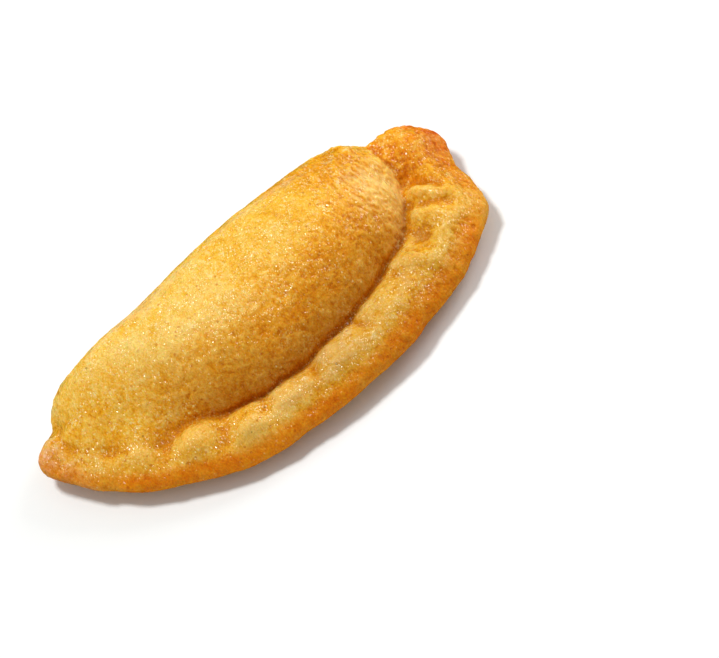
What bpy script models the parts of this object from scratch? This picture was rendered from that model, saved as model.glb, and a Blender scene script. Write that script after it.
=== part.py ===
"""Sambousek: a half-moon turnover of fried dough, crimped along its curved side.

The dough disc is folded over its filling, so the plan is a D. The fold is the
nearly straight back, rounded and highest there. The sealed rim runs round the
curved front from tip to tip, pinched into ridges at the left, puffed and smooth
in the middle, and curled up into a flap at the right tip.

The solid is a sphere whose meridians follow the plan and whose parallels run
from the crown over the pocket, down to its foot, across the rim, round the edge
and back under the pastry. Sizes are in millimetres: x from tip to tip, y from
the rim to the fold, z up from the surface that the pastry rests on.
"""

import bmesh
import bpy
import numpy as np

MM = 0.001

# plan: half lengths to the tips, depth of the rim and of the fold behind the tips' line
TIP_RIGHT = 47.3
TIP_LEFT = 47.8
RIM_OUT = 34.2
FOLD_OUT = 7.6
# squareness of the four quarters of the plan (2 is an ellipse)
SQUARE_FRONT_RIGHT = 2.65
SQUARE_FRONT_LEFT = 1.84
SQUARE_BACK_RIGHT = 2.9
SQUARE_BACK_LEFT = 3.0
# foot of the pocket, where it meets the rim
FOOT_RIGHT = 35.9
FOOT_LEFT = 42.0
FOOT_FRONT = 23.1
FOOT_BACK = 4.2
FOOT_SQUARE_RIGHT = 2.15
FOOT_SQUARE_LEFT = 1.66
FOOT_SQUARE_BACK = 4.0
# pocket
CROWN = 16.9  # top of the pocket above the middle of the rim's edge
RIDGE_Y = -3.3  # the highest line, a little in front of the tips' line
RIDGE_BACK_LEFT = 4.0  # it swings back at the left
# where the fold bulges out or is drawn in: x, share of its depth, half width
FOLD_SWELLS = ((-37.5, 0.25, 5.0), (-17.0, -0.14, 9.0), (31.0, 0.38, 9.0))
FOOT_SWAYS = ((-22.5, 0.8, 3.5), (4.0, 0.65, 5.0), (13.0, 0.85, 6.0), (21.8, 1.05, 4.0))  # x, inwards, half run: the pocket's foot between the puffs
FOLD_SHARE = 0.40  # share of the crown's height at which the fold stands out most
END_BLUNT_RIGHT = 3.0  # how far the crown keeps its height towards each end
END_BLUNT_LEFT = 3.2
END_STEEP_RIGHT = 1.7
END_STEEP_LEFT = 1.8
FRONT_ROUND = 2.1
FRONT_ROUND_LEFT = 1.5
FRONT_STEEP = 1.9
FRONT_STEEP_LEFT = 1.05  # the pocket runs out gently at the left
BACK_ROUND = 2.35
# rim
RIM_Z = 4.1  # middle of the rim's edge above the resting surface
EDGE = 3.4  # thickness of the edge
RIM_SWELL = 1.5  # the rim thickens inwards
SWELL_RUN = 5.5
PUFF = 1.1  # roll along the rim's inner side
PUFF_SHARE = 0.95
FURROW = 1.35  # crease at the pocket's foot
FURROW_HALF = 1.6
FLAP = 1.4  # lift of the right tip
UNDER_BELLY = 6.5  # radius added under the fold
UNDERSIDE_Y = -11.0  # middle of the flat that the pastry rests on

# local pushes of the plan's edge: x, y, outwards, half width
EDGE_PUSHES = (
    (-47.6, -0.6, 0.8, 2.0),
    (-45.2, 4.0, -0.7, 2.0),
    (-45.5, -6.5, -0.4, 3.0),
    (-40.5, -14.0, -0.8, 6.0),
    (-33.4, -21.8, -0.7, 4.0),
    (-29.0, -24.5, -0.4, 6.0),
    (-10.0, -33.5, -0.6, 5.0),
    (41.9, -21.0, 1.5, 4.0),
    (46.4, -9.0, -0.75, 4.5),
    (47.4, -1.2, 0.7, 1.6),
    (47.3, -3.6, 0.6, 2.0),
    (46.6, 1.9, -0.7, 2.0),
    (44.0, 4.8, 0.3, 2.2),
    (39.0, 7.2, -1.0, 1.7),
    (35.0, 8.5, 1.0, 2.6),
    (24.0, -32.5, -0.9, 6.0),
    (2.0, -34.2, -0.35, 7.0),
    (-42.2, 5.4, -1.0, 1.8),
    (-38.5, 7.2, 1.1, 2.4),
)
EDGE_WAVER = 0.2  # the hand-pressed edge wavers: count round the plan, share, phase
EDGE_WAVES = ((11, 0.5, 1.3), (19, 0.4, 4.1), (31, 0.35, 0.4), (47, 0.2, 2.2))

# finger pinches on the rim: from x, y to x, y, height (below 0 is a dent), half width
PINCHES = (
    (-38.3, -4.6, -41.1, -6.5, 0.35, 2.2),
    (-34.0, -7.8, -38.0, -10.6, -0.45, 2.2),
    (-31.2, -11.6, -35.2, -16.4, 1.25, 3.0),
    (-28.0, -15.8, -32.0, -20.2, -0.85, 1.9),
    (-22.4, -19.2, -28.0, -22.8, 1.5, 3.1),
    (-19.6, -22.2, -22.8, -26.2, -1.05, 1.8),
    (-14.6, -25.2, -17.0, -29.4, 1.1, 3.2),
    (-10.8, -22.4, -13.4, -28.0, -1.0, 1.4),
    (-6.8, -24.8, -9.0, -30.0, 0.6, 2.9),
    (-0.8, -23.6, -2.0, -28.4, -0.9, 1.3),
    (3.0, -24.4, 3.6, -30.2, 0.5, 3.3),
    (9.6, -22.8, 11.0, -27.4, -0.8, 1.5),
    (15.2, -23.2, 17.2, -29.0, 0.45, 3.0),
    (20.8, -20.8, 22.2, -23.4, -0.5, 1.4),
    (24.4, -21.6, 29.0, -25.6, 1.0, 1.9),
    (31.0, -16.8, 29.4, -20.8, -1.6, 2.3),
    (33.4, -20.6, 35.4, -22.0, 0.5, 1.6),
    (32.4, -14.4, 37.0, -20.2, 0.9, 1.9),
    (33.4, -11.9, 38.4, -17.9, -0.85, 1.0),
    (35.0, -9.4, 38.2, -15.2, 1.4, 2.0),
    (38.6, -15.2, 41.5, -17.5, 0.8, 1.4),
    (35.6, -5.6, 38.0, -10.2, -1.6, 1.1),
    (38.0, -10.2, 39.4, -13.6, -0.8, 0.9),
    (36.2, 0.5, 36.6, -3.2, 1.2, 2.0),
    (37.6, -4.4, 38.9, -7.8, -1.1, 2.0),
    (40.6, -8.8, 40.5, -10.6, 0.7, 1.2),
    (39.4, 0.0, 43.8, -4.7, 1.0, 3.0),
)
# swellings of the pocket: x, y, height, half width along x and along y
SWELLINGS = (
    (-39.9, 4.7, 1.9, 2.0, 2.8),
    (33.2, 3.4, 3.0, 3.2, 3.5),
    (34.0, 2.6, 3.2, 3.0, 3.5),
    (-17.0, 3.0, -0.7, 9.0, 5.0),
    (-12.0, -8.0, 0.25, 9.0, 6.0),
    (17.0, -7.0, 0.2, 8.0, 6.0),
    (3.0, -14.0, -0.3, 8.0, 4.0),
)

COLUMNS = 108
POCKET_ROWS, RIM_ROWS, UNDER_ROWS = 20, 12, 8
FRONT_DENSER = 0.30  # the columns stand closer along the crimped front


def ramp(a, b, v):
    t = np.clip((v - a) / (b - a), 0.0, 1.0)
    return t * t * (3.0 - 2.0 * t)


def bell(v, half):
    return np.exp(-((v / half) ** 2))


def power(v, e):
    return np.sign(v) * np.abs(v) ** e


def round_over(t):
    t = np.clip(t, 0.0, 1.0)
    return np.sqrt(1.0 - (1.0 - t) ** 2)


def blend_max(a, b, k):
    k = np.maximum(k, 1e-6)
    h = np.clip(0.5 + 0.5 * (a - b) / k, 0.0, 1.0)
    return b + (a - b) * h + k * h * (1.0 - h)


def swell(x):
    """Factor on the depth of the fold at x."""
    return 1.0 + sum(share * bell(x - at, run) for at, share, run in FOLD_SWELLS)


def sway(x):
    """How far the pocket's front foot bends inwards between the puffs."""
    return sum(amount * bell(x - at, run) for at, amount, run in FOOT_SWAYS)


def dee(turn, right, left, front, back, square):
    """Points of a D-shaped line at the given turns, anticlockwise from +x."""
    c, s = np.cos(turn), np.sin(turn)
    a = np.where(c > 0, right, left)
    b = np.where(s > 0, back, front)
    front_e = np.where(c > 0, square[0], square[1])
    back_e = np.where(c > 0, square[2], square[3])
    e = np.where(s > 0, back_e, front_e)
    return np.stack([a * power(c, 2 / e), b * power(s, 2 / e)], -1)


def dee_depth(x, right, left, depth, square_right, square_left):
    """Depth of a D-shaped line at x."""
    r = np.clip(1 - np.clip(x / right, 0, 1) ** square_right, 0, 1) ** (1 / square_right)
    l = np.clip(1 - np.clip(-x / left, 0, 1) ** square_left, 0, 1) ** (1 / square_left)
    return depth * np.where(x > 0, r, l)


def plan_edge(turn, steps=2400):
    """The outer edge of the plan at the given turns, with its local pushes."""
    s = np.linspace(0, 2 * np.pi, 5 * steps + 1)
    line = dee(
        s, TIP_RIGHT, TIP_LEFT, RIM_OUT, FOLD_OUT,
        (SQUARE_FRONT_RIGHT, SQUARE_FRONT_LEFT, SQUARE_BACK_RIGHT, SQUARE_BACK_LEFT),
    )
    line[:, 1] *= np.where(line[:, 1] > 0, swell(line[:, 0]), 1.0)
    run = np.concatenate([[0], np.cumsum(np.linalg.norm(np.diff(line, axis=0), axis=1))])
    around = run[-1]
    asked = np.interp(np.mod(turn, 2 * np.pi), s, run)
    at = np.linspace(0, around, steps + 1)[:-1]
    edge = np.stack([np.interp(at, run, line[:, i]) for i in (0, 1)], 1)
    along = np.roll(edge, -1, 0) - np.roll(edge, 1, 0)
    for _ in range(20):
        along = (np.roll(along, 1, 0) + 2 * along + np.roll(along, -1, 0)) / 4
    out = np.stack([along[:, 1], -along[:, 0]], 1)
    out /= np.linalg.norm(out, axis=1)[:, None]
    push = np.zeros(steps)
    for x, y, amount, half in EDGE_PUSHES:
        i = np.argmin((edge[:, 0] - x) ** 2 + (edge[:, 1] - y) ** 2)
        gap = (np.mod(np.arange(steps) - i + steps / 2, steps) - steps / 2) * around / steps
        push += amount * bell(gap, half)
    circle = at / around * 2 * np.pi
    waver = sum(a * np.sin(n * circle + p) for n, a, p in EDGE_WAVES)
    push += EDGE_WAVER * waver * ramp(0.0, -6.0, edge[:, 1])
    edge = edge + out * push[:, None]
    for _ in range(40):
        edge = (np.roll(edge, 1, 0) + 2 * edge + np.roll(edge, -1, 0)) / 4
    edge = np.vstack([edge, edge[:1]])
    at = np.append(at, around)
    return np.stack([np.interp(asked, at, edge[:, i]) for i in (0, 1)], 1)


def lift(x, y):
    """How far the whole thickness of dough is raised off the rim's plane."""
    flap = FLAP * ramp(32, 43, x) * ramp(-12, 4, y)
    tip = 0.6 * ramp(-38, -48, x)
    wave = 0.35 * np.sin(x / 9.0 + 0.6) * ramp(-20, -32, y)
    return flap + tip + wave


def crown_share(x):
    r = np.clip(1 - np.clip(x / FOOT_RIGHT, 0, 1) ** END_BLUNT_RIGHT, 0, 1)
    l = np.clip(1 - np.clip(-x / FOOT_LEFT, 0, 1) ** END_BLUNT_LEFT, 0, 1)
    return np.where(x > 0, r ** (1 / END_STEEP_RIGHT), l ** (1 / END_STEEP_LEFT))


def pocket(x, y, valley):
    """Height of the filled pocket: front slope, ridge and fold."""
    foot = sway(x) - dee_depth(x, FOOT_RIGHT, FOOT_LEFT, FOOT_FRONT, FOOT_SQUARE_RIGHT, FOOT_SQUARE_LEFT)
    back = dee_depth(x, TIP_RIGHT, TIP_LEFT, FOLD_OUT, SQUARE_BACK_RIGHT, SQUARE_BACK_LEFT) * swell(x)
    share = crown_share(x)
    high = CROWN * share
    crest = RIDGE_Y + RIDGE_BACK_LEFT * ramp(-12, -34, x)
    ridge = crest * share + (1 - share) * 0.5 * (foot + back)
    front = np.clip((ridge - y) / np.maximum(ridge - foot, 0.3), 0, None)
    rear = np.clip((y - ridge) / np.maximum(back - ridge, 0.3), 0, 1)
    steep = FRONT_STEEP + (FRONT_STEEP_LEFT - FRONT_STEEP) * ramp(-12, -34, x)
    bulge = FRONT_ROUND + (FRONT_ROUND_LEFT - FRONT_ROUND) * ramp(-12, -34, x)
    z_front = valley + (RIM_Z + high - valley) * np.clip(1 - front**bulge, 0, 1) ** (1 / steep)
    z_front = np.where(front > 1, valley - 2 * (front - 1) * np.abs(ridge - foot), z_front)
    widest = RIM_Z + FOLD_SHARE * high
    z_rear = widest + (RIM_Z + high - widest) * np.sqrt(np.clip(1 - rear**BACK_ROUND, 0, 1))
    z = np.where(y < ridge, z_front, z_rear)
    for sx, sy, height, wide, deep in SWELLINGS:
        z = z + height * bell(x - sx, wide) * bell(y - sy, deep) * ramp(0.2, 0.7, share)
    return z - 6.0 * ramp(0.12, 0.0, share)


def pinch_height(x, y):
    z = np.zeros_like(x)
    for x0, y0, x1, y1, height, half in PINCHES:
        dx, dy = x1 - x0, y1 - y0
        t = np.clip(((x - x0) * dx + (y - y0) * dy) / (dx * dx + dy * dy), 0, 1)
        full = 0.5 + 0.5 * np.sin(np.pi * t) ** 0.7  # each fades towards its ends
        z = z + height * full * bell(np.hypot(x - x0 - t * dx, y - y0 - t * dy), half)
    return z


def pastry(columns, pocket_rows, rim_rows, under_rows):
    """Rows of points from the crown to the middle of the underside, in mm."""
    spin = np.arange(columns) / columns * 2 * np.pi
    turn = spin - FRONT_DENSER * np.cos(spin)
    edge = plan_edge(turn)
    foot = dee(
        turn, FOOT_RIGHT, FOOT_LEFT, FOOT_FRONT, FOOT_BACK,
        (FOOT_SQUARE_RIGHT, FOOT_SQUARE_LEFT, FOOT_SQUARE_BACK, FOOT_SQUARE_BACK),
    )
    foot[:, 1] += np.where(foot[:, 1] < 0, sway(foot[:, 0]), 0.0)
    width = np.linalg.norm(edge - foot, axis=1)
    top = np.array([-2.0, RIDGE_Y - 2.0])
    core = np.stack([28 * np.cos(turn), 9 * np.sin(turn)], -1)

    r = np.sin(np.pi / 2 * np.arange(0, pocket_rows + 1) / pocket_rows)[:, None]
    even = (1 - r**2)[..., None] * core + (r**2)[..., None] * (foot - top)
    over = top + r[..., None] * even
    s = np.arange(1, rim_rows + 1) / rim_rows
    s = (0.5 * s + 0.5 * np.sin(np.pi / 2 * s))[:, None]
    rim = foot + s[..., None] * (edge - foot)

    xy = np.concatenate([over, rim])
    x, y = xy[..., 0], xy[..., 1]
    to_edge = np.concatenate([width + (1 - r) * 12.0, (1 - s) * width])
    inside = np.concatenate([(1 - r) * np.linalg.norm(foot - top, axis=1), -s * width])
    across = np.clip(-inside / np.maximum(width, 1.0), 0, 1)
    left = ramp(-15, -31, foot[:, 0])
    right = ramp(26, 36, foot[:, 0])
    z = RIM_Z + EDGE / 2 * round_over(to_edge / (EDGE / 2)) + RIM_SWELL * ramp(0.3, SWELL_RUN, to_edge)
    pinch = pinch_height(x, y)
    z = z + pinch * ramp(0.6, 4.5, to_edge) * ramp(1.4, -0.9, inside)
    roll = PUFF * np.sin(np.pi * np.clip(across / PUFF_SHARE, 0, 1)) * (1 - 0.5 * left)
    crease = FURROW * (1 - left) * bell(inside, FURROW_HALF) * ramp(3.0, 0.5, y) * (1 - right * ramp(-8.0, -4.0, y))
    crease = crease * (1 - 0.6 * np.clip(pinch, 0, 1))  # the puffs bulge over it
    z = z + (roll - crease) * ramp(2.0, 8.0, width)
    valley = RIM_Z + EDGE / 2 + 0.6 * left
    soft = (0.9 + 7.0 * left * ramp(2.0, -2.0, y) + 5.0 * right * ramp(-12.0, -3.0, y) + 7.0 * right * ramp(-6.5, -1.5, y)) * ramp(0.0, 2.0, to_edge)
    over_pinch = 0.6 * left * pinch * ramp(6.0, 0.0, inside)  # at the left the puffs run up onto the pocket
    z = blend_max(pocket(x, y, valley) + over_pinch, z, soft)
    share = crown_share(x[-1]) * ramp(0.0, 4.0, y[-1])
    z[-1] = RIM_Z + FOLD_SHARE * CROWN * share
    z = z + lift(x, y)

    q = np.sin(np.pi / 2 * np.arange(under_rows - 1, -1, -1) / under_rows)[:, None]
    middle = np.array([0.0, UNDERSIDE_Y])
    below = middle + q[..., None] * (edge - middle)
    deep = (1 - q) * np.linalg.norm(edge - middle, axis=1)
    flat = np.maximum(ramp(0.96, 0.66, q) * np.ones(columns), share * ramp(0.995, 0.9, q))
    low = (RIM_Z - EDGE / 2 + lift(below[..., 0], below[..., 1])) * (1 - flat)
    rounding = EDGE / 2 + UNDER_BELLY * share
    z_below = z[-1] - (z[-1] - low) * round_over(deep / rounding)

    rows = np.concatenate([
        np.dstack([xy, z]),
        np.dstack([below, z_below]),
    ])
    return soften(rows)


def soften(rows, times=2):
    """Rounds off the hard lines that rows and columns leave, all but the flat underside."""
    for _ in range(times):
        side = (np.roll(rows, 1, 1) + np.roll(rows, -1, 1)) / 2
        mean = rows.copy()
        mean[1:-1] = (side[1:-1] + (rows[:-2] + rows[2:]) / 2) / 2
        moved = rows + 0.5 * (mean - rows)
        moved[rows[..., 2] < 1e-3] = rows[rows[..., 2] < 1e-3]
        moved[0], moved[-1] = rows[0], rows[-1]
        rows = moved
    return rows


def build():
    for thing in list(bpy.data.objects):
        bpy.data.objects.remove(thing, do_unlink=True)

    group = bpy.data.collections.new("sambousek")
    bpy.context.scene.collection.children.link(group)

    rows = pastry(COLUMNS, POCKET_ROWS, RIM_ROWS, UNDER_ROWS)
    bands = len(rows) - 1
    middle = (rows.reshape(-1, 3).min(0) + rows.reshape(-1, 3).max(0)) / 2
    middle[2] = 0.0

    bm = bmesh.new()
    bmesh.ops.create_uvsphere(bm, u_segments=COLUMNS, v_segments=bands, radius=1.0)
    for v in bm.verts:
        polar = np.arccos(np.clip(v.co.z, -1, 1)) / np.pi * bands
        column = np.arctan2(v.co.y, v.co.x) / (2 * np.pi) * COLUMNS
        v.co = (rows[int(round(polar)), int(round(column)) % COLUMNS] - middle) * MM
    mesh = bpy.data.meshes.new("pastry")
    bmesh.ops.recalc_face_normals(bm, faces=bm.faces)
    bm.to_mesh(mesh)
    bm.free()
    mesh.shade_smooth()

    crust = bpy.data.materials.new("fried_crust")
    crust.use_nodes = True
    shader = crust.node_tree.nodes["Principled BSDF"]
    shader.inputs["Base Color"].default_value = (0.66, 0.36, 0.09, 1.0)
    shader.inputs["Roughness"].default_value = 0.5
    shader.inputs["Metallic"].default_value = 0.0
    mesh.materials.append(crust)

    group.objects.link(bpy.data.objects.new("pastry", mesh))


build()
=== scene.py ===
"""Sambousek: the visual model of a half-moon turnover of fried dough.

The crust repeats the solid's shape at a fine scale and adds what frying and
hand-sealing leave on it: puffed lumps, pits, grain, pale dry patches on the
rim, browned edges and tips. Its colour also carries painted shade and painted
light: a darker crease, pits, hollows, rim and front flank, a paler back and
right end, warmer faces turned from the key lamp, and painted glints. Sizes are
in millimetres unless a name says metres.
"""
from math import cos, radians, sin

import bmesh
import bpy
import numpy as np
from mathutils import Matrix, Vector
from mathutils.kdtree import KDTree


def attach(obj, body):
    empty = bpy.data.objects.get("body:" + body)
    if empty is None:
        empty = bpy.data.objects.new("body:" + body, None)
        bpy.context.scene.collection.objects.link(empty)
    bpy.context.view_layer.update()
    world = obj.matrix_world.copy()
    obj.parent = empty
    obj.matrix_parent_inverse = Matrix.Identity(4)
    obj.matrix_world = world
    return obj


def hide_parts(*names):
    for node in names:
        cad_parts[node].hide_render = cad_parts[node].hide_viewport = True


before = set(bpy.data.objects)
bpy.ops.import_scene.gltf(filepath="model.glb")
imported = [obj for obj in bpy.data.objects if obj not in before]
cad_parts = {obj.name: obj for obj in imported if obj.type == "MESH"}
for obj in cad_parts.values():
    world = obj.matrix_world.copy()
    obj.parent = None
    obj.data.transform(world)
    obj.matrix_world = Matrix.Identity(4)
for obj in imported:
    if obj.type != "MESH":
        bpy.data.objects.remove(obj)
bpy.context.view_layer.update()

MM = 0.001

# ---------------------------------------------------------------- the solid's sizes
TIP_RIGHT = 47.3
TIP_LEFT = 47.8
RIM_OUT = 34.2
FOLD_OUT = 7.6
SQUARE_FRONT_RIGHT = 2.65
SQUARE_FRONT_LEFT = 1.84
SQUARE_BACK_RIGHT = 2.9
SQUARE_BACK_LEFT = 3.0
FOOT_RIGHT = 35.9
FOOT_LEFT = 42.0
FOOT_FRONT = 23.1
FOOT_BACK = 4.2
FOOT_SQUARE_RIGHT = 2.15
FOOT_SQUARE_LEFT = 1.66
FOOT_SQUARE_BACK = 4.0
CROWN = 16.9
RIDGE_Y = -3.3
RIDGE_BACK_LEFT = 4.0
FOLD_SWELLS = ((-37.5, 0.25, 5.0), (-17.0, -0.14, 9.0), (31.0, 0.38, 9.0))
FOOT_SWAYS = ((-22.5, 0.8, 3.5), (4.0, 0.65, 5.0), (13.0, 0.85, 6.0), (21.8, 1.05, 4.0))
FOLD_SHARE = 0.40
END_BLUNT_RIGHT = 3.0
END_BLUNT_LEFT = 3.2
END_STEEP_RIGHT = 1.7
END_STEEP_LEFT = 1.8
FRONT_ROUND = 2.1
FRONT_ROUND_LEFT = 1.5
FRONT_STEEP = 1.9
FRONT_STEEP_LEFT = 1.05
BACK_ROUND = 2.35
RIM_Z = 4.1
EDGE = 3.4
RIM_SWELL = 1.5
SWELL_RUN = 5.5
PUFF = 1.1
PUFF_SHARE = 0.95
FURROW = 1.35
FURROW_HALF = 1.6
FLAP = 1.4
UNDER_BELLY = 6.5
UNDERSIDE_Y = -11.0

EDGE_PUSHES = (
    (-47.6, -0.6, 0.8, 2.0),
    (-45.2, 4.0, -0.7, 2.0),
    (-45.5, -6.5, -0.4, 3.0),
    (-40.5, -14.0, -0.8, 6.0),
    (-33.4, -21.8, -0.7, 4.0),
    (-29.0, -24.5, -0.4, 6.0),
    (-10.0, -33.5, -0.6, 5.0),
    (41.9, -21.0, 1.5, 4.0),
    (46.4, -9.0, -0.75, 4.5),
    (47.4, -1.2, 0.7, 1.6),
    (47.3, -3.6, 0.6, 2.0),
    (46.6, 1.9, -0.7, 2.0),
    (44.0, 4.8, 0.3, 2.2),
    (39.0, 7.2, -1.0, 1.7),
    (35.0, 8.5, 1.0, 2.6),
    (24.0, -32.5, -0.9, 6.0),
    (2.0, -34.2, -0.35, 7.0),
    (-42.2, 5.4, -1.0, 1.8),
    (-38.5, 7.2, 1.1, 2.4),
)
EDGE_WAVER = 0.2
EDGE_WAVES = ((11, 0.5, 1.3), (19, 0.4, 4.1), (31, 0.35, 0.4), (47, 0.2, 2.2))

PINCHES = (
    (-38.3, -4.6, -41.1, -6.5, 0.35, 2.2),
    (-34.0, -7.8, -38.0, -10.6, -0.45, 2.2),
    (-31.2, -11.6, -35.2, -16.4, 1.25, 3.0),
    (-28.0, -15.8, -32.0, -20.2, -0.85, 1.9),
    (-22.4, -19.2, -28.0, -22.8, 1.5, 3.1),
    (-19.6, -22.2, -22.8, -26.2, -1.05, 1.8),
    (-14.6, -25.2, -17.0, -29.4, 1.1, 3.2),
    (-10.8, -22.4, -13.4, -28.0, -1.0, 1.4),
    (-6.8, -24.8, -9.0, -30.0, 0.6, 2.9),
    (-0.8, -23.6, -2.0, -28.4, -0.9, 1.3),
    (3.0, -24.4, 3.6, -30.2, 0.5, 3.3),
    (9.6, -22.8, 11.0, -27.4, -0.8, 1.5),
    (15.2, -23.2, 17.2, -29.0, 0.45, 3.0),
    (20.8, -20.8, 22.2, -23.4, -0.5, 1.4),
    (24.4, -21.6, 29.0, -25.6, 1.0, 1.9),
    (31.0, -16.8, 29.4, -20.8, -1.6, 2.3),
    (33.4, -20.6, 35.4, -22.0, 0.5, 1.6),
    (32.4, -14.4, 37.0, -20.2, 0.9, 1.9),
    (33.4, -11.9, 38.4, -17.9, -0.85, 1.0),
    (35.0, -9.4, 38.2, -15.2, 1.4, 2.0),
    (38.6, -15.2, 41.5, -17.5, 0.8, 1.4),
    (35.6, -5.6, 38.0, -10.2, -1.6, 1.1),
    (38.0, -10.2, 39.4, -13.6, -0.8, 0.9),
    (36.2, 0.5, 36.6, -3.2, 1.2, 2.0),
    (37.6, -4.4, 38.9, -7.8, -1.1, 2.0),
    (40.6, -8.8, 40.5, -10.6, 0.7, 1.2),
    (39.4, 0.0, 43.8, -4.7, 1.0, 3.0),
)
SWELLINGS = (
    (-39.9, 4.7, 1.9, 2.0, 2.8),
    (33.2, 3.4, 3.0, 3.2, 3.5),
    (34.0, 2.6, 3.2, 3.0, 3.5),
    (-17.0, 3.0, -0.7, 9.0, 5.0),
    (-12.0, -8.0, 0.25, 9.0, 6.0),
    (17.0, -7.0, 0.2, 8.0, 6.0),
    (3.0, -14.0, -0.3, 8.0, 4.0),
)
FRONT_DENSER = 0.30

# ---------------------------------------------------------------- the crust's own sizes
COLUMNS = 520
POCKET_ROWS, RIM_ROWS, UNDER_ROWS = 110, 64, 40
SOFTEN = 6
# patches fried darker (under 0) or left paler, and patches of painted shade and painted light on the rim's lumps and
# hollows and at the dome's ends: x, y, amount, radius
BROWNING_AND_SHADE_PATCHES = (
    (26.0, -4.0, -0.27, 9.0),
    (30.0, 1.5, -0.18, 6.0),
    (18.0, 2.0, -0.07, 8.0),
    (0.0, 4.0, -0.05, 9.0),
    (-14.0, -10.0, 0.05, 9.0),
    (-12.7, -9.9, 0.11, 7.0),
    (-3.8, -14.4, 0.06, 6.0),
    (-33.0, -1.0, 0.05, 8.0),
    (-22.6, -7.5, 0.11, 6.0),
    (-5.0, -11.0, 0.07, 5.5),
    (-40.5, -2.0, -0.10, 3.5),
    (41.8, -9.4, -0.36, 3.2),
    (40.0, -21.6, 0.21, 3.2),
    (36.0, -7.5, 0.16, 2.0),
    (31.0, -18.6, -0.20, 3.2),
    (23.0, -27.5, -0.13, 5.0),
    (14.5, -29.5, -0.14, 6.0),
    (-15.6, -24.4, -0.24, 3.4),
    (-17.7, -28.4, 0.26, 3.0),
    (-9.2, -29.9, 0.26, 3.4),
    (-27.2, -21.4, 0.14, 3.2),
    (-35.7, -15.3, 0.14, 3.0),
    (41.0, -12.6, -0.14, 2.2),
    (36.8, -14.8, 0.20, 2.0),
    (36.2, -6.4, 0.24, 2.0),
    (37.8, 0.8, 0.14, 3.2),
    (26.4, -21.6, -0.12, 2.6),
)
VOXEL = 0.296  # size of the crust mesh's faces
UNDER_KEPT = 0.66  # share of the faces kept when the underside is thinned out
FLOOR_HALF_M = 3.0


def ramp(a, b, v):
    t = np.clip((v - a) / (b - a), 0.0, 1.0)
    return t * t * (3.0 - 2.0 * t)


def bell(v, half):
    return np.exp(-((v / half) ** 2))


def power(v, e):
    return np.sign(v) * np.abs(v) ** e


def round_over(t):
    t = np.clip(t, 0.0, 1.0)
    return np.sqrt(1.0 - (1.0 - t) ** 2)


def blend_max(a, b, k):
    k = np.maximum(k, 1e-6)
    h = np.clip(0.5 + 0.5 * (a - b) / k, 0.0, 1.0)
    return b + (a - b) * h + k * h * (1.0 - h)


def swell(x):
    return 1.0 + sum(share * bell(x - at, run) for at, share, run in FOLD_SWELLS)


def sway(x):
    """How far the pocket's front foot bends inwards between the puffs."""
    return sum(amount * bell(x - at, run) for at, amount, run in FOOT_SWAYS)


def dee(turn, right, left, front, back, square):
    c, s = np.cos(turn), np.sin(turn)
    a = np.where(c > 0, right, left)
    b = np.where(s > 0, back, front)
    front_e = np.where(c > 0, square[0], square[1])
    back_e = np.where(c > 0, square[2], square[3])
    e = np.where(s > 0, back_e, front_e)
    return np.stack([a * power(c, 2 / e), b * power(s, 2 / e)], -1)


def dee_depth(x, right, left, depth, square_right, square_left):
    r = np.clip(1 - np.clip(x / right, 0, 1) ** square_right, 0, 1) ** (1 / square_right)
    l = np.clip(1 - np.clip(-x / left, 0, 1) ** square_left, 0, 1) ** (1 / square_left)
    return depth * np.where(x > 0, r, l)


def plan_edge(turn, steps=2400):
    s = np.linspace(0, 2 * np.pi, 5 * steps + 1)
    line = dee(
        s, TIP_RIGHT, TIP_LEFT, RIM_OUT, FOLD_OUT,
        (SQUARE_FRONT_RIGHT, SQUARE_FRONT_LEFT, SQUARE_BACK_RIGHT, SQUARE_BACK_LEFT),
    )
    line[:, 1] *= np.where(line[:, 1] > 0, swell(line[:, 0]), 1.0)
    run = np.concatenate([[0], np.cumsum(np.linalg.norm(np.diff(line, axis=0), axis=1))])
    around = run[-1]
    asked = np.interp(np.mod(turn, 2 * np.pi), s, run)
    at = np.linspace(0, around, steps + 1)[:-1]
    edge = np.stack([np.interp(at, run, line[:, i]) for i in (0, 1)], 1)
    along = np.roll(edge, -1, 0) - np.roll(edge, 1, 0)
    for _ in range(20):
        along = (np.roll(along, 1, 0) + 2 * along + np.roll(along, -1, 0)) / 4
    out = np.stack([along[:, 1], -along[:, 0]], 1)
    out /= np.linalg.norm(out, axis=1)[:, None]
    push = np.zeros(steps)
    for x, y, amount, half in EDGE_PUSHES:
        i = np.argmin((edge[:, 0] - x) ** 2 + (edge[:, 1] - y) ** 2)
        gap = (np.mod(np.arange(steps) - i + steps / 2, steps) - steps / 2) * around / steps
        push += amount * bell(gap, half)
    circle = at / around * 2 * np.pi
    waver = sum(a * np.sin(n * circle + p) for n, a, p in EDGE_WAVES)
    push += EDGE_WAVER * waver * ramp(0.0, -6.0, edge[:, 1])
    edge = edge + out * push[:, None]
    for _ in range(40):
        edge = (np.roll(edge, 1, 0) + 2 * edge + np.roll(edge, -1, 0)) / 4
    edge = np.vstack([edge, edge[:1]])
    at = np.append(at, around)
    return np.stack([np.interp(asked, at, edge[:, i]) for i in (0, 1)], 1)


def lift(x, y):
    flap = FLAP * ramp(32, 43, x) * ramp(-12, 4, y)
    tip = 0.6 * ramp(-38, -48, x)
    wave = 0.35 * np.sin(x / 9.0 + 0.6) * ramp(-20, -32, y)
    return flap + tip + wave


def crown_share(x):
    r = np.clip(1 - np.clip(x / FOOT_RIGHT, 0, 1) ** END_BLUNT_RIGHT, 0, 1)
    l = np.clip(1 - np.clip(-x / FOOT_LEFT, 0, 1) ** END_BLUNT_LEFT, 0, 1)
    return np.where(x > 0, r ** (1 / END_STEEP_RIGHT), l ** (1 / END_STEEP_LEFT))


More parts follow.
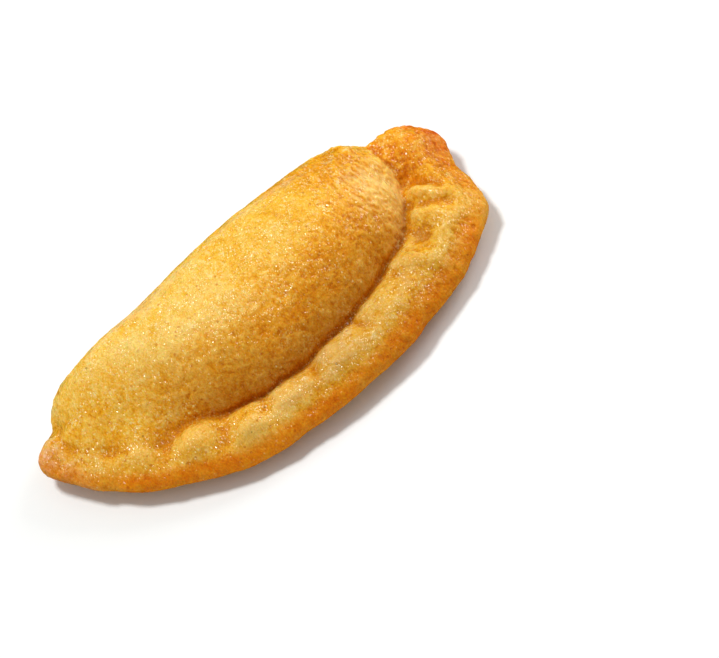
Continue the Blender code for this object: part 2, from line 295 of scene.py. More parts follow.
def pocket(x, y, valley):
    foot = sway(x) - dee_depth(x, FOOT_RIGHT, FOOT_LEFT, FOOT_FRONT, FOOT_SQUARE_RIGHT, FOOT_SQUARE_LEFT)
    back = dee_depth(x, TIP_RIGHT, TIP_LEFT, FOLD_OUT, SQUARE_BACK_RIGHT, SQUARE_BACK_LEFT) * swell(x)
    share = crown_share(x)
    high = CROWN * share
    crest = RIDGE_Y + RIDGE_BACK_LEFT * ramp(-12, -34, x)
    ridge = crest * share + (1 - share) * 0.5 * (foot + back)
    front = np.clip((ridge - y) / np.maximum(ridge - foot, 0.3), 0, None)
    rear = np.clip((y - ridge) / np.maximum(back - ridge, 0.3), 0, 1)
    steep = FRONT_STEEP + (FRONT_STEEP_LEFT - FRONT_STEEP) * ramp(-12, -34, x)
    bulge = FRONT_ROUND + (FRONT_ROUND_LEFT - FRONT_ROUND) * ramp(-12, -34, x)
    z_front = valley + (RIM_Z + high - valley) * np.clip(1 - front**bulge, 0, 1) ** (1 / steep)
    z_front = np.where(front > 1, valley - 2 * (front - 1) * np.abs(ridge - foot), z_front)
    widest = RIM_Z + FOLD_SHARE * high
    z_rear = widest + (RIM_Z + high - widest) * np.sqrt(np.clip(1 - rear**BACK_ROUND, 0, 1))
    z = np.where(y < ridge, z_front, z_rear)
    for sx, sy, height, wide, deep in SWELLINGS:
        z = z + height * bell(x - sx, wide) * bell(y - sy, deep) * ramp(0.2, 0.7, share)
    return z - 6.0 * ramp(0.12, 0.0, share)


def pinch_height(x, y):
    z = np.zeros_like(x)
    for x0, y0, x1, y1, height, half in PINCHES:
        dx, dy = x1 - x0, y1 - y0
        t = np.clip(((x - x0) * dx + (y - y0) * dy) / (dx * dx + dy * dy), 0, 1)
        full = 0.5 + 0.5 * np.sin(np.pi * t) ** 0.7  # each fades towards its ends
        z = z + height * full * bell(np.hypot(x - x0 - t * dx, y - y0 - t * dy), half)
    return z


def pastry(columns, pocket_rows, rim_rows, under_rows, times):
    """Rows of points from the crown to the middle of the underside, and for each
    point the way in from the plan's edge and the way in from the pocket's foot."""
    spin = np.arange(columns) / columns * 2 * np.pi
    turn = spin - FRONT_DENSER * np.cos(spin)
    edge = plan_edge(turn)
    foot = dee(
        turn, FOOT_RIGHT, FOOT_LEFT, FOOT_FRONT, FOOT_BACK,
        (FOOT_SQUARE_RIGHT, FOOT_SQUARE_LEFT, FOOT_SQUARE_BACK, FOOT_SQUARE_BACK),
    )
    foot[:, 1] += np.where(foot[:, 1] < 0, sway(foot[:, 0]), 0.0)
    width = np.linalg.norm(edge - foot, axis=1)
    top = np.array([-2.0, RIDGE_Y - 2.0])
    core = np.stack([28 * np.cos(turn), 9 * np.sin(turn)], -1)

    r = np.sin(np.pi / 2 * np.arange(0, pocket_rows + 1) / pocket_rows)[:, None]
    even = (1 - r**2)[..., None] * core + (r**2)[..., None] * (foot - top)
    over = top + r[..., None] * even
    s = np.arange(1, rim_rows + 1) / rim_rows
    s = (0.5 * s + 0.5 * np.sin(np.pi / 2 * s))[:, None]
    rim = foot + s[..., None] * (edge - foot)

    xy = np.concatenate([over, rim])
    x, y = xy[..., 0], xy[..., 1]
    to_edge = np.concatenate([width + (1 - r) * 12.0, (1 - s) * width])
    inside = np.concatenate([(1 - r) * np.linalg.norm(foot - top, axis=1), -s * width])
    across = np.clip(-inside / np.maximum(width, 1.0), 0, 1)
    left = ramp(-15, -31, foot[:, 0])
    right = ramp(26, 36, foot[:, 0])
    z = RIM_Z + EDGE / 2 * round_over(to_edge / (EDGE / 2)) + RIM_SWELL * ramp(0.3, SWELL_RUN, to_edge)
    pinch = pinch_height(x, y)
    z = z + pinch * ramp(0.6, 4.5, to_edge) * ramp(1.4, -0.9, inside)
    roll = PUFF * np.sin(np.pi * np.clip(across / PUFF_SHARE, 0, 1)) * (1 - 0.5 * left)
    crease = FURROW * (1 - left) * bell(inside, FURROW_HALF) * ramp(3.0, 0.5, y) * (1 - right * ramp(-8.0, -4.0, y))
    crease = crease * (1 - 0.6 * np.clip(pinch, 0, 1))  # the puffs bulge over it
    z = z + (roll - crease) * ramp(2.0, 8.0, width)
    valley = RIM_Z + EDGE / 2 + 0.6 * left
    soft = (0.9 + 7.0 * left * ramp(2.0, -2.0, y) + 5.0 * right * ramp(-12.0, -3.0, y) + 7.0 * right * ramp(-6.5, -1.5, y)) * ramp(0.0, 2.0, to_edge)
    over_pinch = 0.6 * left * pinch * ramp(6.0, 0.0, inside)  # at the left the puffs run up onto the pocket
    z = blend_max(pocket(x, y, valley) + over_pinch, z, soft)
    share = crown_share(x[-1]) * ramp(0.0, 4.0, y[-1])
    z[-1] = RIM_Z + FOLD_SHARE * CROWN * share
    z = z + lift(x, y)

    q = np.sin(np.pi / 2 * np.arange(under_rows - 1, -1, -1) / under_rows)[:, None]
    middle = np.array([0.0, UNDERSIDE_Y])
    below = middle + q[..., None] * (edge - middle)
    deep = (1 - q) * np.linalg.norm(edge - middle, axis=1)
    flat = np.maximum(ramp(0.96, 0.66, q) * np.ones(columns), share * ramp(0.995, 0.9, q))
    low = (RIM_Z - EDGE / 2 + lift(below[..., 0], below[..., 1])) * (1 - flat)
    rounding = EDGE / 2 + UNDER_BELLY * share
    z_below = z[-1] - (z[-1] - low) * round_over(deep / rounding)

    rows = np.concatenate([np.dstack([xy, z]), np.dstack([below, z_below])])
    for _ in range(times):
        side = (np.roll(rows, 1, 1) + np.roll(rows, -1, 1)) / 2
        mean = rows.copy()
        mean[1:-1] = (side[1:-1] + (rows[:-2] + rows[2:]) / 2) / 2
        moved = rows + 0.5 * (mean - rows)
        moved[rows[..., 2] < 1e-3] = rows[rows[..., 2] < 1e-3]
        moved[0], moved[-1] = rows[0], rows[-1]
        rows = moved
    to_edge = np.concatenate([to_edge, -deep])
    inside = np.concatenate([inside, np.full(deep.shape, -20.0)])
    return rows, to_edge, inside


# ---------------------------------------------------------------- seeded noise over points
class Noise:
    def __init__(self, seed):
        maker = np.random.RandomState(seed)
        self.table = np.tile(maker.permutation(256), 4)
        g = maker.normal(size=(256, 3))
        self.grads = g / np.linalg.norm(g, axis=1)[:, None]
        self.jitter = maker.rand(256, 3)

    def hashed(self, i, j, k):
        t = self.table
        return t[(t[(t[i & 255] + j) & 255] + k) & 255]

    def smooth(self, p):
        """Gradient noise, about -1 to 1, one bump to a unit."""
        f = np.floor(p).astype(int)
        d = p - f
        w = d * d * d * (d * (d * 6 - 15) + 10)
        total = np.zeros(len(p))
        for a in (0, 1):
            for b in (0, 1):
                for c in (0, 1):
                    g = self.grads[self.hashed(f[:, 0] + a, f[:, 1] + b, f[:, 2] + c)]
                    dot = (g * (d - (a, b, c))).sum(1)
                    wx = w[:, 0] if a else 1 - w[:, 0]
                    wy = w[:, 1] if b else 1 - w[:, 1]
                    wz = w[:, 2] if c else 1 - w[:, 2]
                    total += dot * wx * wy * wz
        return total * 1.6

    def cells(self, p):
        """Distance to the nearest and second nearest seed, one seed to a unit, and the nearest one's own number."""
        f = np.floor(p).astype(int)
        best = np.full(len(p), 9.0)
        second = np.full(len(p), 9.0)
        number = np.zeros(len(p))
        for a in (-1, 0, 1):
            for b in (-1, 0, 1):
                for c in (-1, 0, 1):
                    h = self.hashed(f[:, 0] + a, f[:, 1] + b, f[:, 2] + c)
                    seed = f + (a, b, c) + self.jitter[h]
                    d = np.linalg.norm(p - seed, axis=1)
                    nearer = d < best
                    second = np.where(nearer, best, np.minimum(second, d))
                    number = np.where(nearer, self.jitter[(h * 7 + 13) & 255, 0], number)
                    best = np.where(nearer, d, best)
        return best, second, number


def layered(noise, p, size, layers=3, fall=0.5):
    total, weight = np.zeros(len(p)), 0.0
    for i in range(layers):
        k = fall**i
        total += k * noise.smooth(p / size * 2**i + 17.3 * i)
        weight += k
    return total / weight


# ---------------------------------------------------------------- crust mesh
def rough_body():
    """The fine shape as an evenly faced mesh, in mm in the solid's own frame."""
    coarse, _, _ = pastry(108, 20, 12, 8, 2)
    flat = coarse.reshape(-1, 3)
    middle = (flat.min(0) + flat.max(0)) / 2
    middle[2] = 0.0
    rows, to_edge, inside = pastry(COLUMNS, POCKET_ROWS, RIM_ROWS, UNDER_ROWS, SOFTEN)
    bands = len(rows) - 1
    bm = bmesh.new()
    bmesh.ops.create_uvsphere(bm, u_segments=COLUMNS, v_segments=bands, radius=1.0)
    for v in bm.verts:
        polar = np.arccos(min(1.0, max(-1.0, v.co.z))) / np.pi * bands
        column = np.arctan2(v.co.y, v.co.x) / (2 * np.pi) * COLUMNS
        v.co = rows[int(round(polar)), int(round(column)) % COLUMNS] - middle
    mesh = bpy.data.meshes.new("body_shape")
    bm.to_mesh(mesh)
    bm.free()
    shape = bpy.data.objects.new("body_shape", mesh)
    bpy.context.scene.collection.objects.link(shape)
    even = shape.modifiers.new("even", "REMESH")
    even.mode = "VOXEL"
    even.voxel_size = VOXEL
    even.adaptivity = 0.0
    depsgraph = bpy.context.evaluated_depsgraph_get()
    depsgraph.update()
    even_mesh = bpy.data.meshes.new_from_object(shape.evaluated_get(depsgraph))
    bpy.data.objects.remove(shape, do_unlink=True)
    shape = bpy.data.objects.new("body_shape", even_mesh)
    bpy.context.scene.collection.objects.link(shape)
    below = shape.vertex_groups.new(name="below")
    low = np.nonzero((normals(even_mesh)[:, 2] < -0.75) & (coordinates(even_mesh)[:, 2] < 2.0))[0]
    below.add([int(i) for i in low], 1.0, "REPLACE")
    thin = shape.modifiers.new("thin", "DECIMATE")
    thin.ratio = UNDER_KEPT
    thin.vertex_group = "below"
    thin.vertex_group_factor = 10.0
    depsgraph = bpy.context.evaluated_depsgraph_get()
    depsgraph.update()
    done = bpy.data.meshes.new_from_object(shape.evaluated_get(depsgraph))
    bpy.data.objects.remove(shape, do_unlink=True)
    tree = KDTree(rows.shape[0] * rows.shape[1])
    points = rows.reshape(-1, 3) - middle
    for i, p in enumerate(points):
        tree.insert(p, i)
    tree.balance()
    near = np.array([tree.find(v.co)[1] for v in done.vertices])
    return done, to_edge.ravel()[near], inside.ravel()[near], middle


def coordinates(mesh):
    p = np.empty(len(mesh.vertices) * 3)
    mesh.vertices.foreach_get("co", p)
    return p.reshape(-1, 3)


def normals(mesh):
    mesh.update()
    n = np.empty(len(mesh.vertices) * 3)
    mesh.vertices.foreach_get("normal", n)
    return n.reshape(-1, 3)


def relax(mesh, p, times, amount=0.5):
    """Evens out the steps of the voxel faces."""
    e = np.empty(len(mesh.edges) * 2, dtype=int)
    mesh.edges.foreach_get("vertices", e)
    e = e.reshape(-1, 2)
    count = np.bincount(e.ravel(), minlength=len(p))[:, None]
    for _ in range(times):
        total = np.zeros_like(p)
        for i in (0, 1):
            for axis in (0, 1, 2):
                total[:, axis] += np.bincount(e[:, i], weights=p[e[:, 1 - i], axis], minlength=len(p))
        p = p + amount * (total / count - p)
    return p


def store(mesh, name, values):
    mesh.attributes.new(name, "FLOAT", "POINT").data.foreach_set("value", np.asarray(values, dtype=np.float32))


def hollow(mesh, p, n, times):
    """How far the surface lies under its own average, in mm: above 0 in a hollow, under 0 on a ridge."""
    return ((relax(mesh, p, times, 0.8) - p) * n).sum(1)


def make_crust():
    mesh, to_edge, inside, middle = rough_body()
    raw = coordinates(mesh)
    p = raw + (relax(mesh, raw, 3) - raw) * ramp(0.05, 1.2, raw[:, 2])[:, None]  # the flat it rests on is kept
    mesh.vertices.foreach_set("co", p.ravel())
    n = normals(mesh)
    q = p + middle  # the plan's own frame
    x, y, z = q.T
    print("crust triangles", sum(len(f.vertices) - 2 for f in mesh.polygons), "vertices", len(p))

    under = ramp(0.0, -0.6, n[:, 2])
    rim = ramp(0.8, -1.2, inside) * ramp(3.0, -1.0, y)
    band = 3.0 + 1.7 * ramp(2, 18, x)  # the browned band is wider along the right
    edge_near = ramp(0.15, 0.75, 1.1 - np.abs(to_edge) / band) * np.maximum(rim, ramp(40, 44, np.abs(x)))
    edge_near = edge_near * (1 - 0.30 * ramp(36, 43, x)) * (1 - 0.45 * ramp(-38, -44, x)) * (1 - 0.45 * bell(np.hypot(x - 40.5, y + 19.0), 4.5))
    lip = ramp(2.6, 0.5, np.abs(to_edge)) * rim * ramp(44, 39, x) * (1 - 0.4 * ramp(-38, -44, x))
    folds = hollow(mesh, p, n, 160)

    a, b, c, d = Noise(11), Noise(23), Noise(37), Noise(51)
    # skin coordinates: the pits run a little long from rim to fold
    skin = np.stack([x, y * 0.75, z * 0.75], 1)
    skin = skin + 0.35 * np.stack([b.smooth(q / 2.3 + 3.0), c.smooth(q / 2.3 + 31.0), d.smooth(q / 2.3 + 77.0)], 1)
    lumps = layered(a, q, 11.0, 2)
    puffs = layered(b, q, 4.2, 2)
    wrinkle = layered(c, skin, 1.8, 2)
    grain = layered(d, skin, 0.8, 2, 0.7)
    crinkle = layered(d, q * (1.0, 0.36, 0.36), 1.0, 2, 0.6)  # short strokes round the right end
    near, next_near, own = a.cells(skin / 1.3)
    crumbs = ramp(0.0, 0.5, next_near - near) * (0.35 + 0.65 * own)
    near, _, own = b.cells(skin / 1.9 + 5.0)
    pits = ramp(0.40, 0.05, near) * ramp(0.45, 0.85, own)
    near, _, own = c.cells(skin / 3.1 + 9.0)
    blister = ramp(0.42, 0.05, near) * ramp(0.55, 0.9, own)

    # calm over the crown, coarser down the front, on the rim and at both ends
    coarse = np.maximum(ramp(15.0, 3.0, inside) * ramp(2.0, -4.0, y), np.maximum(ramp(-30, -40, x), ramp(24, 32, x)))
    rough_end = np.maximum(ramp(20, 31, x), ramp(-39, -44, x))
    fine_share = 0.34 + 0.38 * coarse * (1.0 - 0.55 * rim * (1 - rough_end)) + 0.16 * rough_end
    out = 0.20 * lumps + 0.20 * puffs
    out += fine_share * (0.18 * wrinkle + 0.18 * grain + 0.12 * (crumbs - 0.5) - 0.20 * pits + 0.20 * blister)
    out += rim * (0.06 * puffs + 0.04 * wrinkle) + 0.19 * crinkle * ramp(10, 27, x) * (1 - 0.5 * rim)
    calm = 1.0 - 0.65 * under
    grounded = ramp(0.0, 0.9, z)  # the underside stays flat where it rests
    out = out * calm * grounded
    p = p + n * out[:, None]
    p[:, 2] = np.maximum(p[:, 2], 0.0)
    mesh.vertices.foreach_set("co", p.ravel())
    n = normals(mesh)
    pitted = hollow(mesh, p, n, 14)

    store(mesh, "edge_near", edge_near)
    store(mesh, "lip", lip)
    store(mesh, "rim", rim)
    # painted light: how far each face off the rim turns towards the key lamp
    up = n @ (np.array([-0.10, 0.29, 0.855]) / 0.908)
    store(mesh, "faces_key_lamp", ramp(0.60, 0.97, up) * (1 - rim))
    # where the rim's painted shade turns from greyer to warmer
    store(mesh, "right_side", ramp(-14, 20, x) * ramp(38, 31, x))
    store(mesh, "under", under)
    store(mesh, "coarse", coarse)
    # painted shade: darker colour along the crease at the pocket's foot
    crease = bell(inside + 0.4, 1.4) * ramp(3.0, 0.5, y) * (1 - ramp(-15, -27, x)) * (1 - 0.7 * ramp(18, 28, x)) * (1 - ramp(31, 35, x) * ramp(-9, -5, y))
    store(mesh, "crease", crease)
    # painted shade: the pocket's lower front flank, turned away from the key lamp
    front_flank_shade = ramp(0.10, 0.75, -n[:, 1]) * ramp(14.0, 4.0, inside) * ramp(-1.0, 1.5, inside) * ramp(-33, -18, x)
    store(mesh, "front_flank_shade", front_flank_shade)
    store(mesh, "pitted", np.clip(0.5 + pitted / 0.16, 0, 1))
    store(mesh, "folds", np.clip(0.5 + folds * ramp(0.6, 2.5, np.abs(to_edge)) * (1 - 0.6 * ramp(-26, -35, x)), 0, 1))
    tips = np.maximum(ramp(-41.5, -46.5, x), ramp(38.5, 43.5, x) * ramp(-9, -4, y) * ramp(5.5, 1.0, np.abs(to_edge)))
    store(mesh, "tips", tips)
    flap = ramp(33.5, 37.5, x) * ramp(-9.5, -4.5, y)
    store(mesh, "flap", flap)
    roll = ramp(-0.5, -2.5, inside) * ramp(2.6, 5.0, to_edge) * ramp(3.0, -1.0, y)
    pale = roll * ramp(-0.35, 0.45, puffs + 0.1) * ramp(-16, -4, x) * ramp(33, 26, x)
    store(mesh, "pale", pale)
    # the crown value: lighter towards the dome's top as painted light, plus the listed patches of browning, painted
    # shade and painted light
    browned = sum(amount * bell(np.hypot(x - bx, y - by), wide) for bx, by, amount, wide in BROWNING_AND_SHADE_PATCHES)
    store(mesh, "crown", np.clip(0.5 + ramp(2.0, 11.0, inside) * 0.09 + browned, 0, 1))
    # painted shade: the middle of the rim, beside the pocket, is made darker
    store(mesh, "rim_middle_shade", rim * bell(x - 1.0, 14.0) * ramp(2.0, 4.5, to_edge))
    # the dome's right end, on faces turned right: partly a paler crust, partly painted light
    store(mesh, "pale_and_lit_right_end", ramp(18, 29, x) * ramp(0.28, 0.68, n[:, 0]) * ramp(-1.2, 0.6, inside) * ramp(1.0, -6.0, y) * (1 - 0.6 * ramp(4.0, 10.0, inside)))
    # painted light: faces of the pocket turned back are made paler, as light from behind
    store(mesh, "back", ramp(0.15, 0.80, n[:, 1]) * ramp(1.0, 4.0, inside) * ramp(33, 26, x))
    print("pitted", np.percentile(pitted, (5, 50, 95)).round(3), "folds", np.percentile(folds, (5, 50, 95)).round(3))
    mesh.vertices.foreach_set("co", (p * MM).ravel())
    mesh.update()
    return mesh, middle


# ---------------------------------------------------------------- materials
def linear(r, g, b):
    return tuple((v / 255 / 12.92) if v / 255 <= 0.04045 else ((v / 255 + 0.055) / 1.055) ** 2.4 for v in (r, g, b)) + (1.0,)


class Graph:
    """Short hand for building a node tree."""

    def __init__(self, name):
        self.material = bpy.data.materials.new(name)
        self.material.use_nodes = True
        self.tree = self.material.node_tree
        self.shader = self.tree.nodes["Principled BSDF"]
        self.x = -200

    def node(self, kind, **values):
        made = self.tree.nodes.new(kind)
        self.x -= 60
        made.location = (self.x, 0)
        for key, value in values.items():
            setattr(made, key, value)
        return made

    def link(self, source, target):
        if isinstance(source, (int, float)):
            target.default_value = source
        elif isinstance(source, tuple):
            target.default_value = source
        else:
            self.tree.links.new(source, target)

    def math(self, op, a, b=0.0, c=None, clamp=False):
        n = self.node("ShaderNodeMath", operation=op, use_clamp=clamp)
        self.link(a, n.inputs[0])
        self.link(b, n.inputs[1])
        if c is not None:
            self.link(c, n.inputs[2])
        return n.outputs[0]

    def range(self, value, a, b, lo=0.0, hi=1.0):
        n = self.node("ShaderNodeMapRange", interpolation_type="SMOOTHSTEP")
        for socket, v in zip(("Value", "From Min", "From Max", "To Min", "To Max"), (value, a, b, lo, hi)):
            self.link(v, n.inputs[socket])
        return n.outputs["Result"]

    def mix(self, factor, a, b, blend="MIX"):
        n = self.node("ShaderNodeMix", data_type="RGBA", blend_type=blend)
        self.link(factor, n.inputs[0])
        self.link(a, n.inputs[6])
        self.link(b, n.inputs[7])
        return n.outputs[2]

    def attribute(self, name):
        return self.node("ShaderNodeAttribute", attribute_name=name).outputs["Fac"]

    def noise(self, at, scale, detail=2.0, rough=0.5, distortion=0.0):
        n = self.node("ShaderNodeTexNoise", noise_dimensions="3D")
        self.link(at, n.inputs["Vector"])
        self.link(scale, n.inputs["Scale"])
        self.link(detail, n.inputs["Detail"])
        self.link(rough, n.inputs["Roughness"])
        self.link(distortion, n.inputs["Distortion"])
        return n.outputs["Fac"]

    def ramp(self, value, stops):
        n = self.node("ShaderNodeValToRGB")
        bar = n.color_ramp
        while len(bar.elements) < len(stops):
            bar.elements.new(0.5)
        for element, (at, colour) in zip(bar.elements, stops):
            element.position = at
            element.color = colour
        self.link(value, n.inputs[0])
        return n.outputs[0]

    def grey(self, value):
        n = self.node("ShaderNodeCombineColor")
        for socket in n.inputs:
            self.link(value, socket)
        return n.outputs[0]

    def first(self, colour):
        n = self.node("ShaderNodeSeparateColor")
        self.link(colour, n.inputs[0])
        return n.outputs[0]

    def cells(self, at, scale, feature="F1", randomness=1.0):
        n = self.node("ShaderNodeTexVoronoi", feature=feature)
        self.link(at, n.inputs["Vector"])
        self.link(scale, n.inputs["Scale"])
        self.link(randomness, n.inputs["Randomness"])
        return n.outputs["Distance"], n.outputs.get("Color")

    def scaled(self, at, size):
        n = self.node("ShaderNodeMapping")
        self.link(at, n.inputs["Vector"])
        n.inputs["Scale"].default_value = size
        return n.outputs[0]


def crust_material():
    g = Graph("fried_crust")
    where = g.node("ShaderNodeTexCoord").outputs["Object"]
    skin = g.scaled(where, (1.0, 0.72, 0.72))

    edge_near, rim, under = g.attribute("edge_near"), g.attribute("rim"), g.attribute("under")
    crease, pitted, folds = g.attribute("crease"), g.attribute("pitted"), g.attribute("folds")
    tips, flap, pale, front_flank_shade = g.attribute("tips"), g.attribute("flap"), g.attribute("pale"), g.attribute("front_flank_shade")

    broad = g.noise(where, 95.0, 3.0, 0.55)
    patch = g.noise(where, 260.0, 3.0, 0.6)
    blotch = g.noise(skin, 760.0, 4.0, 0.65, 0.3)
    fine = g.noise(skin, 1900.0, 2.0, 0.7)
    speck = g.noise(skin, 3600.0, 1.0, 0.5)

    ochre = linear(212, 130, 0)
    deep = linear(230, 156, 12)
    golden = linear(241, 183, 50)
    light = linear(248, 209, 112)
    glint_cream = linear(255, 230, 160)
    body = linear(243, 178, 44)
    dry = linear(242, 198, 106)

    def stain_and_shade(amount, colour, target):
        # tints towards the target and keeps the grain under it; used for browning and for painted shade alike
        ratio = tuple(max(t, 0.12 * b) / b for t, b in zip(target[:3], body[:3])) + (1.0,)
        return g.mix(amount, colour, ratio, "MULTIPLY")

    # one tone from deep in the pits to pale on the bumps: painted shade in the pits and hollows, painted light on the
    # bumps and ridges
    coarse = g.attribute("coarse")
    tone = g.math("MULTIPLY_ADD", g.math("SUBTRACT", blotch, 0.5), 0.7, 0.58)
    tone = g.math("MULTIPLY_ADD", g.math("SUBTRACT", fine, 0.5), 0.45, tone)
    tone = g.math("MULTIPLY_ADD", g.math("SUBTRACT", speck, 0.5), 0.35, tone)
    tone = g.math("MULTIPLY_ADD", g.math("SUBTRACT", broad, 0.5), 0.7, tone)
    tone = g.math("MULTIPLY_ADD", g.math("SUBTRACT", patch, 0.5), 0.5, tone)
    # painted shade in the small pits, painted light on the bumps
    tone = g.math("MULTIPLY_ADD", g.math("SUBTRACT", 0.5, pitted), g.math("MULTIPLY_ADD", coarse, 0.20, 0.20), tone)
    # painted shade in the larger hollows, a little painted light on the ridges
    tone = g.math("MULTIPLY_ADD", g.range(folds, 0.5, 0.9), -0.28, tone)
    tone = g.math("MULTIPLY_ADD", g.range(folds, 0.5, 0.1), 0.05, tone)
    # lighter towards the dome's top as painted light, with the patches of browning, painted shade and painted light
    tone = g.math("ADD", g.math("SUBTRACT", g.attribute("crown"), 0.5), tone)
    tone = g.math("MULTIPLY_ADD", g.math("MULTIPLY", flap, g.math("SUBTRACT", g.noise(where, 520.0, 3.0, 0.7), 0.52)), 1.6, tone)
    colour = g.ramp(tone, ((0.08, ochre), (0.36, deep), (0.62, golden), (0.98, light)))
    # the finest grain only lightens and darkens
    shade = g.math("MULTIPLY_ADD", g.math("SUBTRACT", speck, 0.5), 0.40, 1.0)
    colour = g.mix(1.0, colour, g.grey(shade), "MULTIPLY")
    # painted glints: cream flecks, in clusters, stand in for highlights on the oil
    clusters = g.range(g.noise(where, 330.0, 3.0, 0.7), 0.46, 0.62, 0.20, 1.0)
    glint_flecks = g.math("MULTIPLY", g.range(g.noise(skin, 1250.0, 2.0, 0.6, 0.5), 0.565, 0.65), clusters)
    small, _ = g.cells(skin, 2300.0)
    glint_flecks = g.math("MAXIMUM", glint_flecks, g.math("MULTIPLY", g.range(small, 0.40, 0.20), clusters))
    colour = g.mix(g.math("MULTIPLY", glint_flecks, 0.62), colour, glint_cream)
    # painted glints: sparse specks that stay almost white
    glint_cells, chance = g.cells(skin, 1500.0)
    picked = g.math("MULTIPLY", g.range(g.first(chance), 0.55, 0.60), g.range(glint_cells, 0.30, 0.14))
    glint_specks = g.math("MULTIPLY", g.math("MULTIPLY", picked, clusters), g.math("MULTIPLY_ADD", edge_near, -0.7, 1.0))
    # small dark orange pores
    pores, _ = g.cells(where, 620.0)
    pored = g.math("MULTIPLY", g.range(pores, 0.22, 0.10), g.range(g.noise(where, 240.0, 2.0, 0.6), 0.42, 0.60))
    colour = g.mix(g.math("MULTIPLY", pored, 0.55), colour, linear(196, 104, 0))
    # dry pale patches on the rim's roll
    dried = g.math("MULTIPLY", pale, g.range(g.noise(where, 520.0, 3.0, 0.6), 0.40, 0.62))
    colour = g.mix(g.math("MULTIPLY", dried, 0.60), colour, dry)
    # painted shade: the middle of the rim is made darker
    colour = stain_and_shade(g.math("MULTIPLY", g.attribute("rim_middle_shade"), 0.55), colour, linear(212, 154, 50))
    # the dome's right end made paler: partly a paler crust, partly painted light on faces turned right
    colour = g.mix(g.math("MULTIPLY", g.attribute("pale_and_lit_right_end"), 0.66), colour, linear(255, 222, 140))
    # painted light: faces turned back made paler, as light from behind
    colour = g.mix(g.math("MULTIPLY", g.attribute("back"), 0.50), colour, linear(255, 232, 180))
    # painted shade: the rim is made darker than the pocket, greyer to the left and warmer to the right
    colour = g.mix(g.math("MULTIPLY", rim, 0.9), colour, g.mix(g.attribute("right_side"), linear(240, 229, 198), linear(231, 229, 222)), "MULTIPLY")
    # painted light: faces turned to the key lamp are made cooler and a little darker, the rest of the pocket warmer
    colour = g.mix(g.attribute("faces_key_lamp"), g.mix(g.math("SUBTRACT", 1.0, rim), colour, (1.03, 1.0, 0.96, 1.0), "MULTIPLY"), g.mix(1.0, colour, (0.93, 0.96, 1.0, 1.0), "MULTIPLY"))
    # browned flap, edge and tips
    colour = stain_and_shade(g.math("MULTIPLY", flap, g.range(g.noise(where, 210.0, 2.0, 0.5), 0.35, 0.6, 0.35, 1.0)), colour, linear(242, 152, 2))
    toasted = g.math("MULTIPLY", edge_near, g.range(g.noise(where, 420.0, 3.0, 0.6), 0.30, 0.62, 0.70, 1.0))
    colour = stain_and_shade(toasted, colour, linear(233, 136, 0))
    colour = stain_and_shade(g.math("MULTIPLY", g.attribute("lip"), g.range(g.noise(where, 300.0, 3.0, 0.6), 0.32, 0.60, 0.45, 0.95)), colour, linear(243, 168, 0))
    colour = stain_and_shade(g.math("MULTIPLY", tips, g.range(g.noise(where, 380.0, 3.0, 0.6), 0.32, 0.62, 0.35, 0.95)), colour, linear(238, 163, 74))
    # painted shade: deeper orange on the pocket's lower front flank
    colour = stain_and_shade(g.math("MULTIPLY", front_flank_shade, 0.75), colour, linear(220, 138, 0))
    # painted shade: darker along the crease
    colour = stain_and_shade(g.math("MULTIPLY", crease, 0.55), colour, linear(204, 122, 0))
    colour = stain_and_shade(g.math("MULTIPLY", under, 0.60), colour, linear(226, 148, 34))
    # painted glints: the sparse almost white specks
    colour = g.mix(g.math("MULTIPLY", glint_specks, 0.72), colour, linear(255, 232, 164))
    # a few dark specks of overdone crumb
    dark, _ = g.cells(where, 260.0)
    colour = g.mix(g.math("MULTIPLY", g.range(dark, 0.075, 0.045), g.math("MULTIPLY", 0.6, g.range(broad, 0.5, 0.6))), colour, linear(92, 52, 18))

    g.link(colour, g.shader.inputs["Base Color"])
    rough = g.range(g.noise(where, 900.0, 3.0, 0.6), 0.35, 0.68, 0.38, 0.62)
    rough = g.math("ADD", rough, g.math("MULTIPLY", dried, 0.15))
    g.link(rough, g.shader.inputs["Roughness"])
    g.shader.inputs["Specular IOR Level"].default_value = 0.08
    g.shader.inputs["Subsurface Weight"].default_value = 0.5
    g.shader.inputs["Subsurface Radius"].default_value = (0.0022, 0.0009, 0.0003)
    g.shader.inputs["Subsurface Scale"].default_value = 1.0
    # a thin film of oil, thicker in clusters, over blisters that each catch the light
    blisters, _ = g.cells(skin, 1500.0)
    wet = g.range(g.noise(where, 360.0, 3.0, 0.65), 0.40, 0.60, 0.14, 1.0)
    wet = g.math("MULTIPLY", wet, g.range(folds, 0.55, 0.85, 1.0, 0.45))
    wet = g.math("MULTIPLY", wet, g.math("MULTIPLY_ADD", edge_near, -0.55, 1.0))
    g.link(g.math("MULTIPLY", wet, g.math("MULTIPLY_ADD", coarse, 0.25, 0.75)), g.shader.inputs["Coat Weight"])
    g.shader.inputs["Coat Roughness"].default_value = 0.17
    g.shader.inputs["Coat IOR"].default_value = 1.55

    height = g.math("ADD", g.math("MULTIPLY", fine, 0.65), g.math("MULTIPLY", speck, 0.35))
    bump = g.node("ShaderNodeBump")
    bump.inputs["Strength"].default_value = 0.5
    bump.inputs["Distance"].default_value = 0.0006
    g.link(height, bump.inputs["Height"])
    g.link(bump.outputs["Normal"], g.shader.inputs["Normal"])
    film = g.node("ShaderNodeBump")
    film.inputs["Strength"].default_value = 1.0
    film.inputs["Distance"].default_value = 0.0004
    ripple = g.noise(skin, 2000.0, 1.0, 0.5)
    g.link(g.math("MULTIPLY_ADD", g.math("MULTIPLY", blisters, blisters), -1.0, g.math("MULTIPLY", ripple, 0.3)), film.inputs["Height"])
    g.link(film.outputs["Normal"], g.shader.inputs["Coat Normal"])
    return g.material


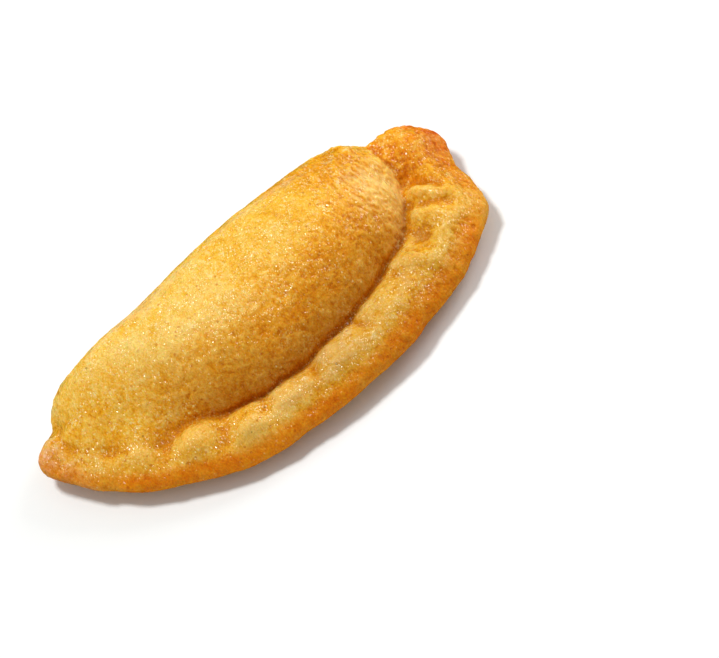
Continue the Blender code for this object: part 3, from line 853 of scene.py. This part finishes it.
def floor_material():
    g = Graph("pale_floor")
    where = g.node("ShaderNodeTexCoord").outputs["Object"]
    tone = g.noise(where, 3.0, 2.0, 0.5)
    g.link(g.mix(g.range(tone, 0.3, 0.7), linear(243, 246, 249), linear(245, 248, 252)), g.shader.inputs["Base Color"])
    g.shader.inputs["Roughness"].default_value = 0.9
    return g.material


# ---------------------------------------------------------------- pieces
crust_mesh, plan_middle = make_crust()
crust = bpy.data.objects.new("crust", crust_mesh)
bpy.context.scene.collection.objects.link(crust)
crust.data.materials.clear()
crust.data.materials.append(crust_material())
crust.data.shade_smooth()
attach(crust, "root")
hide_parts("pastry")

bpy.ops.mesh.primitive_plane_add(size=2 * FLOOR_HALF_M, location=(0, 0, -0.00002))
floor = bpy.context.object
floor.name = "floor"
floor.data.materials.append(floor_material())
floor.visible_glossy = False

# ---------------------------------------------------------------- camera
VIEW_AZIMUTH, VIEW_HEIGHT, VIEW_ROLL = -13.03, 49.54, 30.99  # degrees
LENS = 150.0
WIDTH, HEIGHT = 719, 658
PIXELS_PER_MM = 5.561
SEEN_AT = (269.3, 316.0)  # where the point looked at lands in the picture
LOOK_AT = (Vector((0.0, -12.0, 10.0)) - Vector(plan_middle)) * MM  # a point inside the pocket's front

a, e, r = radians(VIEW_AZIMUTH), radians(VIEW_HEIGHT), radians(VIEW_ROLL)
toward = Vector((sin(a) * cos(e), -cos(a) * cos(e), sin(e)))
level = Vector((cos(a), sin(a), 0.0))
upright = toward.cross(level)
right = level * cos(r) - upright * sin(r)
up = level * sin(r) + upright * cos(r)
focal = LENS / 36.0 * WIDTH
facing = Matrix((right, up, toward)).transposed()
off = Vector(((SEEN_AT[0] - WIDTH / 2) / focal, (HEIGHT / 2 - SEEN_AT[1]) / focal, -1.0)).normalized()
facing = facing @ off.rotation_difference(Vector((0, 0, -1))).to_matrix()
place = LOOK_AT + toward * (focal / PIXELS_PER_MM * MM)
camera_data = bpy.data.cameras.new("camera")
camera_data.lens = LENS
camera_data.sensor_width = 36.0
camera_data.clip_start = 0.01
camera = bpy.data.objects.new("camera", camera_data)
bpy.context.scene.collection.objects.link(camera)
camera.matrix_world = Matrix.Translation(place) @ facing.to_4x4()
bpy.context.scene.camera = camera


# ---------------------------------------------------------------- light
def lamp(name, from_point, size, watts, colour=(1, 1, 1)):
    data = bpy.data.lights.new(name, "AREA")
    data.shape = "DISK"
    data.size = size
    data.energy = watts
    data.color = colour
    made = bpy.data.objects.new(name, data)
    bpy.context.scene.collection.objects.link(made)
    made.location = from_point
    made.rotation_euler = (Vector((0, 0, 0.01)) - Vector(from_point)).to_track_quat("-Z", "Y").to_euler()
    return made


lamp("key", (-0.10, 0.29, 0.855), 0.20, 5.35, (0.975, 0.985, 0.955))
lamp("fill", (0.78, 0.14, 0.40), 0.45, 3.1, (1.0, 0.98, 0.96))

world = bpy.data.worlds.new("studio")
bpy.context.scene.world = world
world.use_nodes = True
world.node_tree.nodes["Background"].inputs["Color"].default_value = (1.0, 0.955, 0.89, 1.0)
world.node_tree.nodes["Background"].inputs["Strength"].default_value = 0.46
world.cycles_visibility.glossy = False  # only the lamps show in the oil

bpy.context.scene.view_settings.view_transform = "Standard"
bpy.context.scene.view_settings.look = "None"
